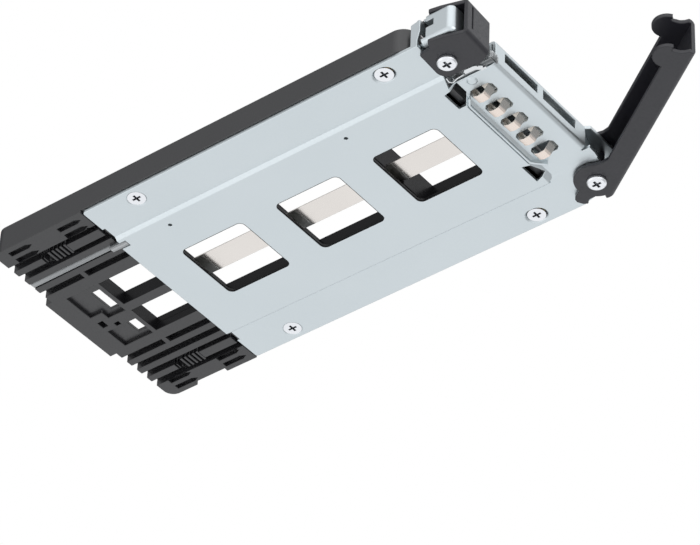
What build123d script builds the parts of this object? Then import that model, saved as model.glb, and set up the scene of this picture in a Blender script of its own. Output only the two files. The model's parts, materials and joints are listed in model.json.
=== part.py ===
"""Hot swap caddy for a 2.5 inch drive, with a plastic drive blank screwed into it.

X runs to the right seen from the front, +Y goes into the bay and +Z is up. The origin is the
centre of the four drive screws, on the lower face of the tray's pressed centre panel.
All sizes are in millimetres. The lever stands open, as after pulling the caddy out.
"""
from build123d import *
from math import cos, radians, sin
import os

os.makedirs("parts", exist_ok=True)

# Drive screw pattern and the drive outline round it
hole_pitch_x = 61.72
hole_pitch_y = 76.6
drive_front_margin = 9.85
drive_rear_margin = 14.0
drive_width = 69.86

# Folded steel tray
sheet = 1.0
tray_side_gap = 0.53
panel_half_width = 22.05
panel_drop = 0.85
step_run = 0.95
tray_rear_overhang = 0.6
tray_corner_radius = 2.5
band_front_reach = 2.45
window_width = 20.0
window_length = 19.5
window_pitch = 29.9
window_rear_margin = 10.8
window_corner_radius = 1.6
pin_hole_radius = 0.5
pin_hole_inset = 2.85
pin_hole_setback = 1.1
pin_hole_pitch = 55.1
slotted_hole_extra = 1.0
notch_depth = 0.8
left_notch_width = 5.8
right_notch_width = 3.4

# Raised front panel with its finger slots
panel_rise = 0.4
panel_left_inset = 3.25
panel_right_inset = 1.15
joggle_run = 1.5
relief_width = 6.4
relief_length = 4.2
relief_shift = 1.2
rim_width = 0.6
groove_width = 0.2
groove_depth = 0.5
finger_count = 5
finger_pitch = 6.2
slot_width = 3.8
slot_length = 6.5
slot_setback = 2.45
slot_corner = 0.8
dimple_radius = 1.4
dimple_height = 0.4

# Front face with its vents, and the flange and ears that carry the lever
face_setback = 13.85
face_top_z = 8.75
face_right_inset = 3.1
flange_gap = 0.45
ear_depth = 9.0
bend_radius = 1.3
return_depth = 2.0
vent_height = 2.7
vent_sill = 3.05
vent_width = 13.2
vent_inset = 3.7
vent_pitch = 15.5
ear_radius = 4.6
ear_overhang = 0.9
tab_thickness = 0.9
tab_top_z = 9.1
tab_slant = 0.6
tab_depth = 2.7
tab_setback = 0.45
tab_lip = 3.0
tab_lip_drop = 3.5

# Pivots
lever_pivot_inset = 6.7
lever_pivot_setback = 3.6
latch_panel_gap = 8.4
latch_pivot_setback = 7.9
pivot_radius = 1.5
running_gap = 0.05
pivot_head_radius = 2.45
pivot_head_height = 1.1
pivot_end = 0.3
spacer_radius = 2.0
pivot_recess_span = 2.4
pivot_recess_width = 0.6
pivot_recess_depth = 0.75

# Lever and latch, both folded to a channel that straddles the tray
channel_sheet = 1.1
channel_height = 10.8
channel_gap = 0.2
channel_bend = 1.2
lever_open_angle = 55.6
lever_web_reach = 5.95
lever_tip_gap = 4.9
lever_hub_radius = 5.7
tip_radius = 3.6
tip_setback = 3.5
latch_rest_angle = 3.0
latch_web_reach = 9.7
latch_web_left = 6.1
latch_web_right = 3.2
latch_half_width = 4.9
latch_rear_reach = 4.4
latch_corner_radius = 2.9
latch_nose_reach = 5.5
latch_nose_depth = 2.7
latch_wing_reach = 7.8
web_groove_width = 0.6
web_groove_depth = 0.35
web_groove_inset = 1.9

# Latch housing in the front left corner
housing_sheet = 0.8
housing_side_gap = 0.03
housing_front_gap = 0.8
housing_panel_gap = 3.8
housing_top_z = 9.05
housing_corner_radius = 1.8
housing_bend = 1.0
housing_lap = 2.0
housing_wall_setback = 2.8
housing_notch_z = 4.85
housing_notch_height = 2.0
housing_notch_length = 2.2
tongue_inset = 1.9
tongue_width = 9.0

# Latch spring, a leaf hooked over the raised panel's left edge
spring_sheet = 0.3
spring_low_z = -0.4
spring_arm_width = 1.3
spring_hook_reach = 2.4
spring_hook_width = 1.6

# Drive blank moulding
blank_height = 7.8
blank_wall = 1.8
blank_deck = 1.6
blank_front_radius = 4.6
blank_rear_radius = 3.0
blank_edge_radius = 0.6
tail_length = 28.95
tail_drop = 0.8
tail_gap = 0.35
tail_side_width = 5.9
tooth_depth = 2.15
tail_plate = 2.15
tooth_x = 18.0
tooth_pitch = 4.0
tooth_width = 2.0
third_tooth_length = 10.15
side_bar_x = 13.15
side_bar_width = 3.7
spine_width = 3.0
cross_bar_setback = 14.2
cross_bar_width = 1.4
centre_block_setback = 22.35
centre_block_left = 12.6
centre_block_right = 12.85
centre_block_overhang = 2.0
tail_opening_x = 11.25
tail_window_length = 3.5
tail_window_left_width = 7.6
tail_window_right_width = 5.3
pocket_inner_x = 4.7
pocket_depth = 1.0
pocket_margin = 1.2
pocket_setback = 6.0
pocket_step = 3.8
arm_length = 18.6
arm_inner_x = 23.4
arm_outer_x = 28.55
arm_slot = 0.7
pad_rib_count = 5
pad_rib_pitch = 1.3
pad_rib_width = 0.7
hollow_width = 1.5
hollow_length = 7.2
hollow_depth = 1.4
hollow_edge_gap = 2.3
hollow_pitch = 2.8
waist_depth = 1.2
waist_length = 10.0
opening_half_width = 15.0
opening_margin = 0.3
opening_rear_extra = 6.05
rib_wall = 1.5
boss_radius = 3.4
insert_radius = 2.3
insert_length = 4.0
insert_recess = 0.3
press_gap = 0.01

# Tray screws
screw_radius = 1.45
screw_head_radius = 2.55
screw_sink = 0.15
screw_length = 4.6
screw_recess_span = 2.4
screw_recess_width = 0.55
screw_recess_depth = 0.8

# Light pipe, centre strip and contact fingers
pipe_inset = 1.15
pipe_width = 1.7
pipe_height = 1.9
pipe_reach = 0.7
pipe_gap = 0.2
foot_length = 5.4
foot_depth = 1.2
lens_left = 0.9
lens_right = 0.6
lens_drop = 0.45
lens_ridge = 0.3
strip_width = 7.0
strip_thickness = 0.3
strip_recess = 1.23
finger_width = 2.5
finger_sheet = 0.2
finger_drop = 1.9

# Places that follow from the sizes above
half_x = hole_pitch_x / 2
half_y = hole_pitch_y / 2
half_drive = drive_width / 2
half_tray = half_drive - tray_side_gap
drive_front_y = -half_y - drive_front_margin
drive_rear_y = half_y + drive_rear_margin
tray_rear_y = drive_rear_y + tray_rear_overhang
band_front_y = drive_front_y - band_front_reach
band_top_z = panel_drop + sheet
step_outer_x = panel_half_width + step_run
joggle_rear_y = drive_front_y - 0.15
joggle_front_y = joggle_rear_y - joggle_run
panel_z = panel_drop + panel_rise
panel_top_z = panel_z + sheet
panel_left_x = panel_left_inset - panel_half_width
panel_right_x = panel_half_width - panel_right_inset
relief_inner_x = -panel_left_x - relief_width
band_left_x = panel_right_x + sheet
face_y = drive_front_y - face_setback
face_right_x = panel_right_x - face_right_inset
vent_left_x = panel_left_x + vent_inset
flange_rear_y = drive_front_y - flange_gap
ear_rear_y = face_y + ear_depth
ear_z = face_top_z - sheet
ear_front_y = face_y - ear_overhang
slot_rear_y = drive_front_y - slot_setback
slot_y = slot_rear_y - slot_length / 2
blank_top_z = band_top_z + blank_height
tail_rear_y = tray_rear_y + tail_gap + tail_length
tail_front_y = tray_rear_y + tail_gap
tail_low_z = band_top_z - tail_drop
plate_z = tail_low_z + tooth_depth
plate_top_z = plate_z + tail_plate
tail_half_width = half_drive - tail_side_width
channel_z = panel_drop - channel_gap - channel_sheet
tab_rear_y = drive_front_y - tab_setback
tab_front_y = tab_rear_y - tab_depth
housing_left_x = housing_side_gap - half_drive
housing_right_x = panel_left_x - housing_panel_gap
housing_front_y = face_y + housing_front_gap
housing_wall_rear_y = band_front_y - housing_wall_setback
lap_y = band_front_y - 0.4
housing_rear_y = lap_y - sheet
lever_pivot_x = half_tray - lever_pivot_inset
lever_pivot_y = face_y + lever_pivot_setback
latch_pivot_x = panel_left_x - latch_panel_gap
latch_pivot_y = face_y + latch_pivot_setback
lever_length = lever_pivot_x - latch_pivot_x - lever_tip_gap
strip_top_z = band_top_z + strip_recess
pipe_left_x = pipe_inset - panel_half_width
pipe_right_x = pipe_left_x + pipe_width
lever_pivot = (lever_pivot_x, lever_pivot_y)
latch_pivot = (latch_pivot_x, latch_pivot_y)
drive_holes = [(x, y) for x in (-half_x, half_x) for y in (-half_y, half_y)]
window_rear_y = drive_rear_y - window_rear_margin
windows = [(0, window_rear_y - window_length / 2 - n * window_pitch) for n in range(3)]
finger_xs = [(n - (finger_count - 1) / 2) * finger_pitch for n in range(finger_count)]


def block(left, right, front, rear):
    """Add a rectangle to the sketch in hand, given by its four edges."""
    with Locations(((left + right) / 2, (front + rear) / 2)):
        Rectangle(right - left, rear - front)


def save(builder, name):
    """Label a finished piece and write it to the file of that name."""
    builder.part.label = name
    export_step(builder.part, f"parts/{name}.step")


# Tray: one folded sheet with bands under the drive's edges, a pressed centre panel with three
# windows, a raised front panel, the vented face with its top flange, and two ears for the lever
with BuildPart() as tray:
    with BuildSketch(Plane.XZ.offset(-tray_rear_y)):
        with BuildLine():
            Polyline(
                (0, 0), (panel_half_width, 0), (step_outer_x, panel_drop),
                (half_tray, panel_drop), (half_tray, band_top_z),
                (step_outer_x - panel_drop / 2, band_top_z),
                (panel_half_width - panel_drop / 2, sheet), (0, sheet), close=True,
            )
        make_face()
        mirror(about=Plane.YZ)
    extrude(amount=tray_rear_y - band_front_y)
    fillet(tray.edges().filter_by(Axis.Z).group_by(Axis.Y)[-1], tray_corner_radius)

    # The pressed panel stops short of the band's front edge, with a slanted left corner
    with BuildSketch():
        block(panel_left_x, step_outer_x, band_front_y - 1, joggle_rear_y)
        with BuildLine():
            Polyline(
                (-half_x, band_front_y - 1), (-half_x, band_front_y),
                (-panel_half_width, joggle_rear_y - 1.3), (panel_left_x, joggle_rear_y),
                (panel_left_x, band_front_y - 1), close=True,
            )
        make_face()
    extrude(amount=band_top_z, mode=Mode.SUBTRACT)

    # Joggle from the pressed panel up to the raised panel
    with BuildSketch(Plane.YZ.offset(-relief_inner_x - relief_width)):
        with BuildLine():
            Polyline(
                (joggle_rear_y, 0), (joggle_front_y, panel_z), (joggle_front_y, panel_top_z),
                (joggle_rear_y, sheet), close=True,
            )
        make_face()
    extrude(amount=band_left_x + relief_inner_x + relief_width)

    # Raised panel, face and top flange in one bent section
    with BuildSketch(Plane.YZ.offset(panel_left_x)):
        with BuildLine():
            FilletPolyline(
                (joggle_front_y, panel_top_z - sheet / 2), (face_y + sheet / 2, panel_top_z - sheet / 2),
                (face_y + sheet / 2, face_top_z - sheet / 2), (flange_rear_y, face_top_z - sheet / 2),
                radius=bend_radius - sheet / 2,
            )
        trace(line_width=sheet)
    extrude(amount=face_right_x - panel_left_x)
    with BuildSketch(Plane.XY.offset(panel_z)):
        block(face_right_x, panel_right_x, face_y + bend_radius, joggle_front_y)
        block(face_right_x + 0.5, panel_right_x, ear_front_y, face_y + bend_radius)
    extrude(amount=sheet)
    with BuildSketch(Plane.XY.offset(panel_z)):
        block(panel_left_x, panel_left_x + sheet, face_y + bend_radius, face_y + return_depth)
    extrude(amount=face_top_z - panel_z)

    # Soft step from the raised panel down to the right band
    with BuildSketch(Plane.XZ.offset(-joggle_rear_y)):
        with BuildLine():
            Polyline(
                (panel_right_x, panel_z), (band_left_x, panel_drop), (band_left_x, band_top_z),
                (panel_right_x, panel_top_z), close=True,
            )
        make_face()
    extrude(amount=joggle_rear_y - ear_front_y - 0.1)

    # Right band as far as the lower ear, and the upper ear on the top flange
    with BuildSketch(Plane.XY.offset(panel_drop)):
        with BuildLine():
            Polyline(
                (band_left_x, joggle_rear_y), (half_tray, joggle_rear_y), (half_tray, joggle_front_y),
                (lever_pivot_x + ear_radius, lever_pivot_y), (lever_pivot_x, lever_pivot_y - 3),
                (band_left_x, ear_front_y + 0.3), close=True,
            )
        make_face()
        with Locations(lever_pivot):
            Circle(ear_radius)
    extrude(amount=sheet)
    with BuildSketch(Plane.XY.offset(ear_z)):
        with BuildLine():
            Polyline(
                (face_right_x, ear_rear_y), (lever_pivot_x, ear_rear_y), lever_pivot,
                (lever_pivot_x, ear_front_y), (face_right_x + 0.9, ear_front_y),
                (face_right_x, face_y + 0.7), close=True,
            )
        make_face()
        with Locations(lever_pivot):
            Circle(ear_radius)
    extrude(amount=sheet)

    # Upstands in front of the drive, each with a lip bent inwards
    for side in (-1, 1):
        with BuildSketch(Plane.YZ.offset(side * half_tray)):
            with BuildLine():
                Polyline(
                    (tab_rear_y, panel_drop), (tab_rear_y, tab_top_z - tab_slant), (tab_front_y, tab_top_z),
                    (tab_front_y, tab_top_z - tab_lip_drop), (band_front_y, band_top_z + 1),
                    (band_front_y, panel_drop), close=True,
                )
            make_face()
        extrude(amount=-side * tab_thickness)
        with BuildSketch(Plane.XZ.offset(-tab_front_y)):
            with Locations((side * (half_tray - tab_lip / 2), tab_top_z - tab_lip_drop / 2)):
                Rectangle(tab_lip, tab_lip_drop)
        extrude(amount=-tab_thickness)

    # Rim along the joggle's foot, its ends curling forward, with a fine groove behind it
    rim_y = joggle_rear_y - groove_width - rim_width / 2
    rim_left_x = relief_shift - relief_inner_x
    rim_right_x = relief_inner_x + relief_shift
    with BuildSketch():
        with BuildLine():
            FilletPolyline(
                (rim_left_x - 2, rim_y - joggle_run), (rim_left_x, rim_y), (rim_right_x, rim_y),
                (rim_right_x + 3, rim_y - 2 * joggle_run), radius=1.5,
            )
        trace(line_width=rim_width)
    extrude(amount=panel_z)
    with BuildSketch():
        block(rim_left_x, rim_right_x, joggle_rear_y - groove_width, joggle_rear_y)
    extrude(amount=groove_depth, mode=Mode.SUBTRACT)

    # Windows, reliefs at the joggle's ends, pin holes and notches in the rear edge
    with BuildSketch():
        with Locations(*windows):
            RectangleRounded(window_width, window_length, window_corner_radius)
        relief_front_y = joggle_front_y - 0.6
        relief_rear_y = relief_front_y + relief_length
        relief_far_x = relief_inner_x + relief_width
        with BuildLine():
            Polyline(
                (-relief_far_x + 0.3, relief_front_y), (-relief_far_x + relief_shift, relief_rear_y),
                (rim_left_x - rim_width, relief_rear_y), (rim_left_x - rim_width, joggle_rear_y),
                (rim_left_x - joggle_run - 2, relief_front_y), close=True,
            )
        make_face()
        with BuildLine():
            Polyline(
                (relief_inner_x + relief_shift, relief_rear_y), (relief_far_x + relief_shift, relief_rear_y),
                (relief_far_x, relief_front_y + 1), (rim_right_x + rim_width, joggle_rear_y), close=True,
            )
        make_face()
        pin_hole_x = pin_hole_inset - panel_half_width
        pin_hole_y = half_y - pin_hole_setback
        with Locations((pin_hole_x, pin_hole_y), (pin_hole_x, pin_hole_y - pin_hole_pitch)):
            Circle(pin_hole_radius)
        block(pipe_left_x - left_notch_width, pipe_left_x, tray_rear_y - notch_depth, tray_rear_y + 1)
        block(step_outer_x, step_outer_x + right_notch_width, tray_rear_y - notch_depth, tray_rear_y + 1)
        block(pipe_left_x - pipe_gap, pipe_right_x + pipe_gap, tray_rear_y - foot_length / 2, tray_rear_y + 1)
    extrude(amount=panel_top_z, mode=Mode.SUBTRACT)

    # Slots for the contact fingers, and the two vents in the face
    with BuildSketch(Plane.XY.offset(panel_z)):
        with Locations(*[(x, slot_y) for x in finger_xs]):
            Rectangle(slot_width, slot_length)
        chamfer(vertices(), slot_corner)
    extrude(amount=sheet, mode=Mode.SUBTRACT)
    vent_z = panel_z + vent_sill
    with BuildSketch(Plane.XZ.offset(-face_y)):
        for left in (vent_left_x, vent_left_x + vent_pitch):
            block(left, left + vent_width, vent_z, vent_z + vent_height)
    extrude(amount=-sheet, mode=Mode.SUBTRACT)

    # Countersunk drive holes, the front two slotted, and the lever's pivot hole through both ears
    with BuildSketch(Plane.XY.offset(panel_drop)):
        for x in (-half_x, half_x):
            with Locations((x, half_y)):
                Circle(screw_head_radius + running_gap)
            with Locations((x, -half_y)):
                across = 2 * (screw_head_radius + running_gap)
                SlotOverall(across + slotted_hole_extra, across, rotation=90)
    extrude(amount=sheet, taper=45, mode=Mode.SUBTRACT)
    with BuildSketch(Plane.XY.offset(panel_drop)):
        with Locations(lever_pivot):
            Circle(pivot_radius + running_gap)
    extrude(amount=face_top_z, mode=Mode.SUBTRACT)

    # Dimple pressed down in the raised panel, for the latch to ride over
    with BuildSketch(Plane.XY.offset(panel_z)):
        with Locations((panel_left_x + 1.8, slot_y)):
            Circle(dimple_radius)
    extrude(amount=-dimple_height, taper=50)
save(tray, "tray")


# Latch housing: a folded corner piece, C shaped round the latch, with a tongue lapped on the tray
with BuildPart() as latch_housing:
    with BuildSketch(Plane.XY.offset(panel_drop)):
        block(housing_left_x, housing_right_x, housing_front_y, housing_rear_y)
        fillet(vertices().group_by(Axis.X)[0].sort_by(Axis.Y)[0], housing_corner_radius)
    extrude(amount=housing_top_z - panel_drop)
    bent_edges = latch_housing.edges().filter_by(
        lambda edge: edge.center().X < housing_right_x - 1 and edge.center().Y < housing_rear_y - 1
    ).filter_by(Plane.XY)
    fillet(bent_edges, housing_bend)
    with BuildSketch(Plane.XY.offset(panel_drop + housing_sheet)):
        block(
            housing_left_x + housing_sheet, housing_right_x + 1,
            housing_front_y + housing_sheet, housing_rear_y + 1,
        )
        fillet(vertices().group_by(Axis.X)[0].sort_by(Axis.Y)[0], housing_corner_radius - housing_sheet)
    extrude(amount=housing_top_z - panel_drop - 2 * housing_sheet, mode=Mode.SUBTRACT)
    # The side wall stops short of the upstand, with a notch half way up
    with BuildSketch(Plane.YZ.offset(housing_left_x)):
        block(housing_wall_rear_y, housing_rear_y + 1, panel_drop + housing_bend, housing_top_z)
        block(
            housing_wall_rear_y - housing_notch_length, housing_rear_y,
            housing_notch_z, housing_notch_z + housing_notch_height,
        )
    extrude(amount=housing_bend, mode=Mode.SUBTRACT)
    # Tongue stepped up on to the tray's band
    with BuildSketch(Plane.YZ.offset(housing_left_x + tongue_inset)):
        with BuildLine():
            Polyline(
                (housing_rear_y - 0.5, panel_drop), (housing_rear_y, panel_drop), (lap_y, band_top_z),
                (lap_y + housing_lap, band_top_z), (lap_y + housing_lap, band_top_z + housing_sheet),
                (lap_y, band_top_z + housing_sheet), (housing_rear_y, panel_drop + housing_sheet),
                (housing_rear_y - 0.5, panel_drop + housing_sheet), close=True,
            )
        make_face()
    extrude(amount=tongue_width)
    with BuildSketch(Plane.XY.offset(panel_drop)):
        with Locations(latch_pivot):
            Circle(pivot_radius + running_gap)
    extrude(amount=housing_top_z, mode=Mode.SUBTRACT)
save(latch_housing, "latch_housing")


# Lever: a channel that straddles the ears, drawn along its own length from the pivot to the tip
lever_turn = radians(lever_open_angle)
lever_plane = Plane(
    origin=(lever_pivot_x, lever_pivot_y, channel_z),
    x_dir=(-cos(lever_turn), -sin(lever_turn), 0), z_dir=(0, 0, 1),
)
with BuildPart() as lever:
    with BuildSketch(lever_plane):
        tip_x = lever_length - tip_setback
        with BuildLine():
            Polyline(
                (-3.8, lever_web_reach), (lever_length - 0.6, lever_web_reach), (lever_length, 4.3),
                (lever_length - 0.8, 3.4), (lever_length - 1.2, 2.4), (lever_length - 1.2, 0.1),
                (tip_x + tip_radius, 0.1), (tip_x, 0), (tip_x - 4.2, -0.15),
                (8.2, -0.15), (6.6, -0.9), (5.0, -2.6), (0, 0), (-5.1, 4.5), close=True,
            )
        make_face()
        Circle(lever_hub_radius)
        with Locations((tip_x, 0)):
            Circle(tip_radius)
        # Tooth that bears on the bay's edge, and the small stop beside it
        with BuildLine():
            Polyline(
                (-5.0, -2.7), (-6.5, -2.75), (-8.3, -2.5), (-9.0, -1.7), (-9.1, 0), (-8.5, 1.1),
                (-7.5, 0.8), (-6.9, 0.85), (-5.4, 1.8), close=True,
            )
        make_face()
        # Notch in the tip for the latch's nose
        with BuildLine():
            Polyline(
                (lever_length + 1, 0.1), (lever_length - 1.1, 0.1), (lever_length - 1.2, 0.8),
                (lever_length - 1.2, 2.4), (lever_length - 0.8, 3.4), (lever_length, 4.3),
                (lever_length + 1, 4.3), close=True,
            )
        make_face(mode=Mode.SUBTRACT)
    extrude(amount=channel_height)
    with BuildSketch(lever_plane.offset(channel_sheet)):
        block(-2 * lever_hub_radius, lever_length + 1, -2 * lever_hub_radius, lever_web_reach - channel_sheet)
    extrude(amount=channel_height - 2 * channel_sheet, mode=Mode.SUBTRACT)
    lever_across = Axis(lever_plane.origin, lever_plane.y_dir)
    outer_edges = lever.edges().filter_by(Axis(lever_plane.origin, lever_plane.x_dir))
    fillet(outer_edges.group_by(lever_across)[-1].group_by(Axis.Z)[0], channel_bend)
    outer_edges = lever.edges().filter_by(Axis(lever_plane.origin, lever_plane.x_dir))
    fillet(outer_edges.group_by(lever_across)[-1].group_by(Axis.Z)[-1], channel_bend)
    with BuildSketch(lever_plane):
        Circle(pivot_radius + running_gap)
    extrude(amount=channel_height, mode=Mode.SUBTRACT)
save(lever, "lever")


# Latch: a short channel round the housing, drawn square and turned to its rest angle
latch_turn = radians(latch_rest_angle)
latch_plane = Plane(
    origin=(latch_pivot_x, latch_pivot_y, channel_z),
    x_dir=(cos(latch_turn), sin(latch_turn), 0), z_dir=(0, 0, 1),
)
with BuildPart() as latch:
    with BuildSketch(latch_plane):
        with BuildLine():
            Polyline(
                (-latch_half_width, latch_rear_reach), (latch_half_width, latch_rear_reach),
                (latch_half_width - 0.5, -latch_half_width), (latch_nose_reach, -latch_half_width),
                (latch_web_right + 1, -latch_half_width - latch_nose_depth),
                (latch_web_right, -latch_web_reach), (-latch_web_left, -latch_web_reach),
                (-latch_web_left, -latch_web_reach + channel_bend + 0.1),
                (0.4 - latch_wing_reach, 1.6 - latch_rear_reach), (-latch_wing_reach, 0.3),
                (-latch_half_width - 0.6, latch_rear_reach - 3.1),
                (-latch_half_width - 0.3, latch_rear_reach - 0.5), close=True,
            )
        make_face()
        fillet(vertices().group_by(Axis.Y)[-1].sort_by(Axis.X)[-1], latch_corner_radius)
    extrude(amount=channel_height)
    with BuildSketch(latch_plane.offset(channel_sheet)):
        block(-latch_web_reach, latch_web_reach, channel_sheet - latch_web_reach, latch_web_reach)
    extrude(amount=channel_height - 2 * channel_sheet, mode=Mode.SUBTRACT)
    latch_front = Axis(latch_plane.origin, -latch_plane.y_dir)
    for end in (0, -1):
        along = latch.edges().filter_by(Axis(latch_plane.origin, latch_plane.x_dir))
        fillet(along.group_by(latch_front)[-1].group_by(Axis.Z)[end], channel_bend)
    with BuildSketch(latch_plane):
        Circle(pivot_radius + running_gap)
    extrude(amount=channel_height, mode=Mode.SUBTRACT)
    # Fine upright groove in the outside of the web
    web_plane = Plane(origin=latch_plane.origin, x_dir=latch_plane.x_dir, z_dir=-latch_plane.y_dir)
    with BuildSketch(web_plane.offset(latch_web_reach)):
        groove_x = web_groove_inset - latch_web_left
        block(groove_x, groove_x + web_groove_width, 0.22 * channel_height, 0.86 * channel_height)
    extrude(amount=-web_groove_depth, mode=Mode.SUBTRACT)
save(latch, "latch")


# Latch spring: a flat arm hooked over the raised panel's left edge, above the lever's tip, with a
# leg turned down beside the latch
with BuildPart() as latch_spring:
    hook_x = panel_left_x - spring_sheet / 2
    hook_y = face_y + return_depth + 0.4
    with BuildSketch(Plane.XY.offset(panel_drop)):
        with BuildLine():
            FilletPolyline(
                (hook_x - 0.5, hook_y + 0.8), (hook_x - 1.6, hook_y + 2.4), (hook_x - 1.75, hook_y + 5.4),
                radius=1.0,
            )
        trace(line_width=spring_arm_width)
        block(hook_x - 0.5, panel_left_x, hook_y, hook_y + spring_hook_width)
    extrude(amount=spring_sheet)
    with BuildSketch(Plane.XY.offset(spring_low_z)):
        with BuildLine():
            FilletPolyline(
                (hook_x - 2.25, hook_y + 5.1), (hook_x - 2.05, hook_y + 7.2), (hook_x - 1.45, hook_y + 8.8),
                (hook_x - 2.1, hook_y + 9.45), (hook_x - 3.5, hook_y + 9.25), radius=0.4,
            )
        trace(line_width=spring_sheet)
    extrude(amount=panel_drop + spring_sheet - spring_low_z)
    with BuildSketch(Plane.XZ.offset(-hook_y)):
        with BuildLine():
            Polyline(
                (panel_left_x, panel_drop), (panel_left_x, panel_top_z),
                (panel_left_x + spring_hook_reach, panel_top_z),
                (panel_left_x + spring_hook_reach, panel_top_z + spring_sheet),
                (panel_left_x - spring_sheet, panel_top_z + spring_sheet),
                (panel_left_x - spring_sheet, panel_drop), close=True,
            )
        make_face()
    extrude(amount=-spring_hook_width)
save(latch_spring, "latch_spring")


# Pivot screws from below, each with a sleeve between the sheets that it joins
def pivot_screw(pivot):
    """Shoulder screw with a pan head under the channel, through to just above it."""
    with BuildPart() as screw:
        head_top_z = channel_z - running_gap
        with BuildSketch(Plane.XY.offset(head_top_z)):
            with Locations(pivot):
                Circle(pivot_head_radius)
        extrude(amount=-pivot_head_height)
        chamfer(screw.edges().group_by(Axis.Z)[0], pivot_head_height / 3)
        with BuildSketch(Plane.XY.offset(head_top_z)):
            with Locations(pivot):
                Circle(pivot_radius)
        extrude(amount=channel_height + running_gap + pivot_end)
        with BuildSketch(Plane.XY.offset(head_top_z - pivot_head_height)):
            with Locations(pivot):
                Rectangle(pivot_recess_span, pivot_recess_width)
                Rectangle(pivot_recess_width, pivot_recess_span)
        extrude(amount=pivot_recess_depth, mode=Mode.SUBTRACT)
    return screw


def spacer(pivot, low_z, high_z):
    """Sleeve round a pivot screw that keeps two sheets apart."""
    with BuildPart() as sleeve:
        with BuildSketch(Plane.XY.offset(low_z)):
            with Locations(pivot):
                Circle(spacer_radius)
                Circle(pivot_radius + running_gap, mode=Mode.SUBTRACT)
        extrude(amount=high_z - low_z)
    return sleeve


save(pivot_screw(lever_pivot), "lever_pivot_screw")
save(pivot_screw(latch_pivot), "latch_pivot_screw")
save(spacer(lever_pivot, band_top_z, ear_z), "lever_spacer")
save(spacer(latch_pivot, panel_drop + housing_sheet, housing_top_z - housing_sheet), "latch_spacer")


# Contact fingers: one springy strip on the raised panel, its five fingers bowed down through it
with BuildPart() as finger_strip:
    finger_rear_y = slot_rear_y - 0.35
    finger_front_y = slot_rear_y - slot_length + 0.35
    middle_z = panel_top_z + finger_sheet / 2
    low_z = panel_z - finger_drop
    with BuildSketch(Plane.XY.offset(panel_top_z)):
        block(finger_xs[0] - finger_pitch / 2, finger_xs[-1] + finger_pitch / 2, face_y + 3.5, joggle_front_y)
    extrude(amount=finger_sheet)
    with BuildSketch(Plane.XY.offset(panel_top_z)):
        for x in finger_xs:
            block(x - finger_width / 2 - 0.3, x + finger_width / 2 + 0.3, finger_front_y, finger_rear_y)
    extrude(amount=finger_sheet, mode=Mode.SUBTRACT)
    for x in finger_xs:
        with BuildSketch(Plane.YZ.offset(x)):
            with BuildLine():
                Polyline(
                    (finger_rear_y + 0.5, middle_z), (finger_rear_y - 0.1, middle_z),
                    (finger_rear_y - 0.8, low_z + 0.4), (finger_rear_y - 2.0, low_z),
                    (finger_rear_y - 3.6, low_z + 0.2), (finger_front_y + 0.1, middle_z),
                    (finger_front_y - 0.5, middle_z),
                )
            trace(line_width=finger_sheet)
        extrude(amount=finger_width / 2, both=True)
save(finger_strip, "finger_strip")


# Centre strip: a stainless strap in a channel under the blank's cross ribs
with BuildPart() as centre_strip:
    with BuildSketch(Plane.XY.offset(strip_top_z - strip_thickness)):
        block(-strip_width / 2, strip_width / 2, drive_front_y + 1.95, drive_rear_y - 2.0)
    extrude(amount=strip_thickness)
save(centre_strip, "centre_strip")


# Light pipe: a clear bar from the tail to a lens in the gap beside the face
with BuildPart() as light_pipe:
    pipe_z = plate_z - pipe_height
    pipe_front_y = face_y - pipe_reach
    with BuildSketch(Plane.XY.offset(pipe_z)):
        block(pipe_left_x, pipe_right_x, pipe_front_y, tail_rear_y)
    extrude(amount=pipe_height)
    # Ridged lens in front of the face
    with BuildSketch(Plane.XY.offset(pipe_z - lens_drop)):
        block(pipe_left_x - lens_left, pipe_right_x + lens_right, pipe_front_y, face_y - running_gap)
        for n in range(3):
            ridge_x = pipe_left_x - lens_left + lens_ridge + n * 3 * lens_ridge
            block(ridge_x, ridge_x + lens_ridge, pipe_front_y - lens_ridge, pipe_front_y)
    extrude(amount=pipe_height)
    # Foot that drops into the notch in the tray's rear edge
    foot_front_y = tray_rear_y - foot_length / 2 + pipe_gap
    with BuildSketch(Plane.XY.offset(pipe_z)):
        block(pipe_left_x, pipe_right_x, foot_front_y, foot_front_y + foot_length - pipe_gap)
    extrude(amount=-foot_depth)
save(light_pipe, "light_pipe")


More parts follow.
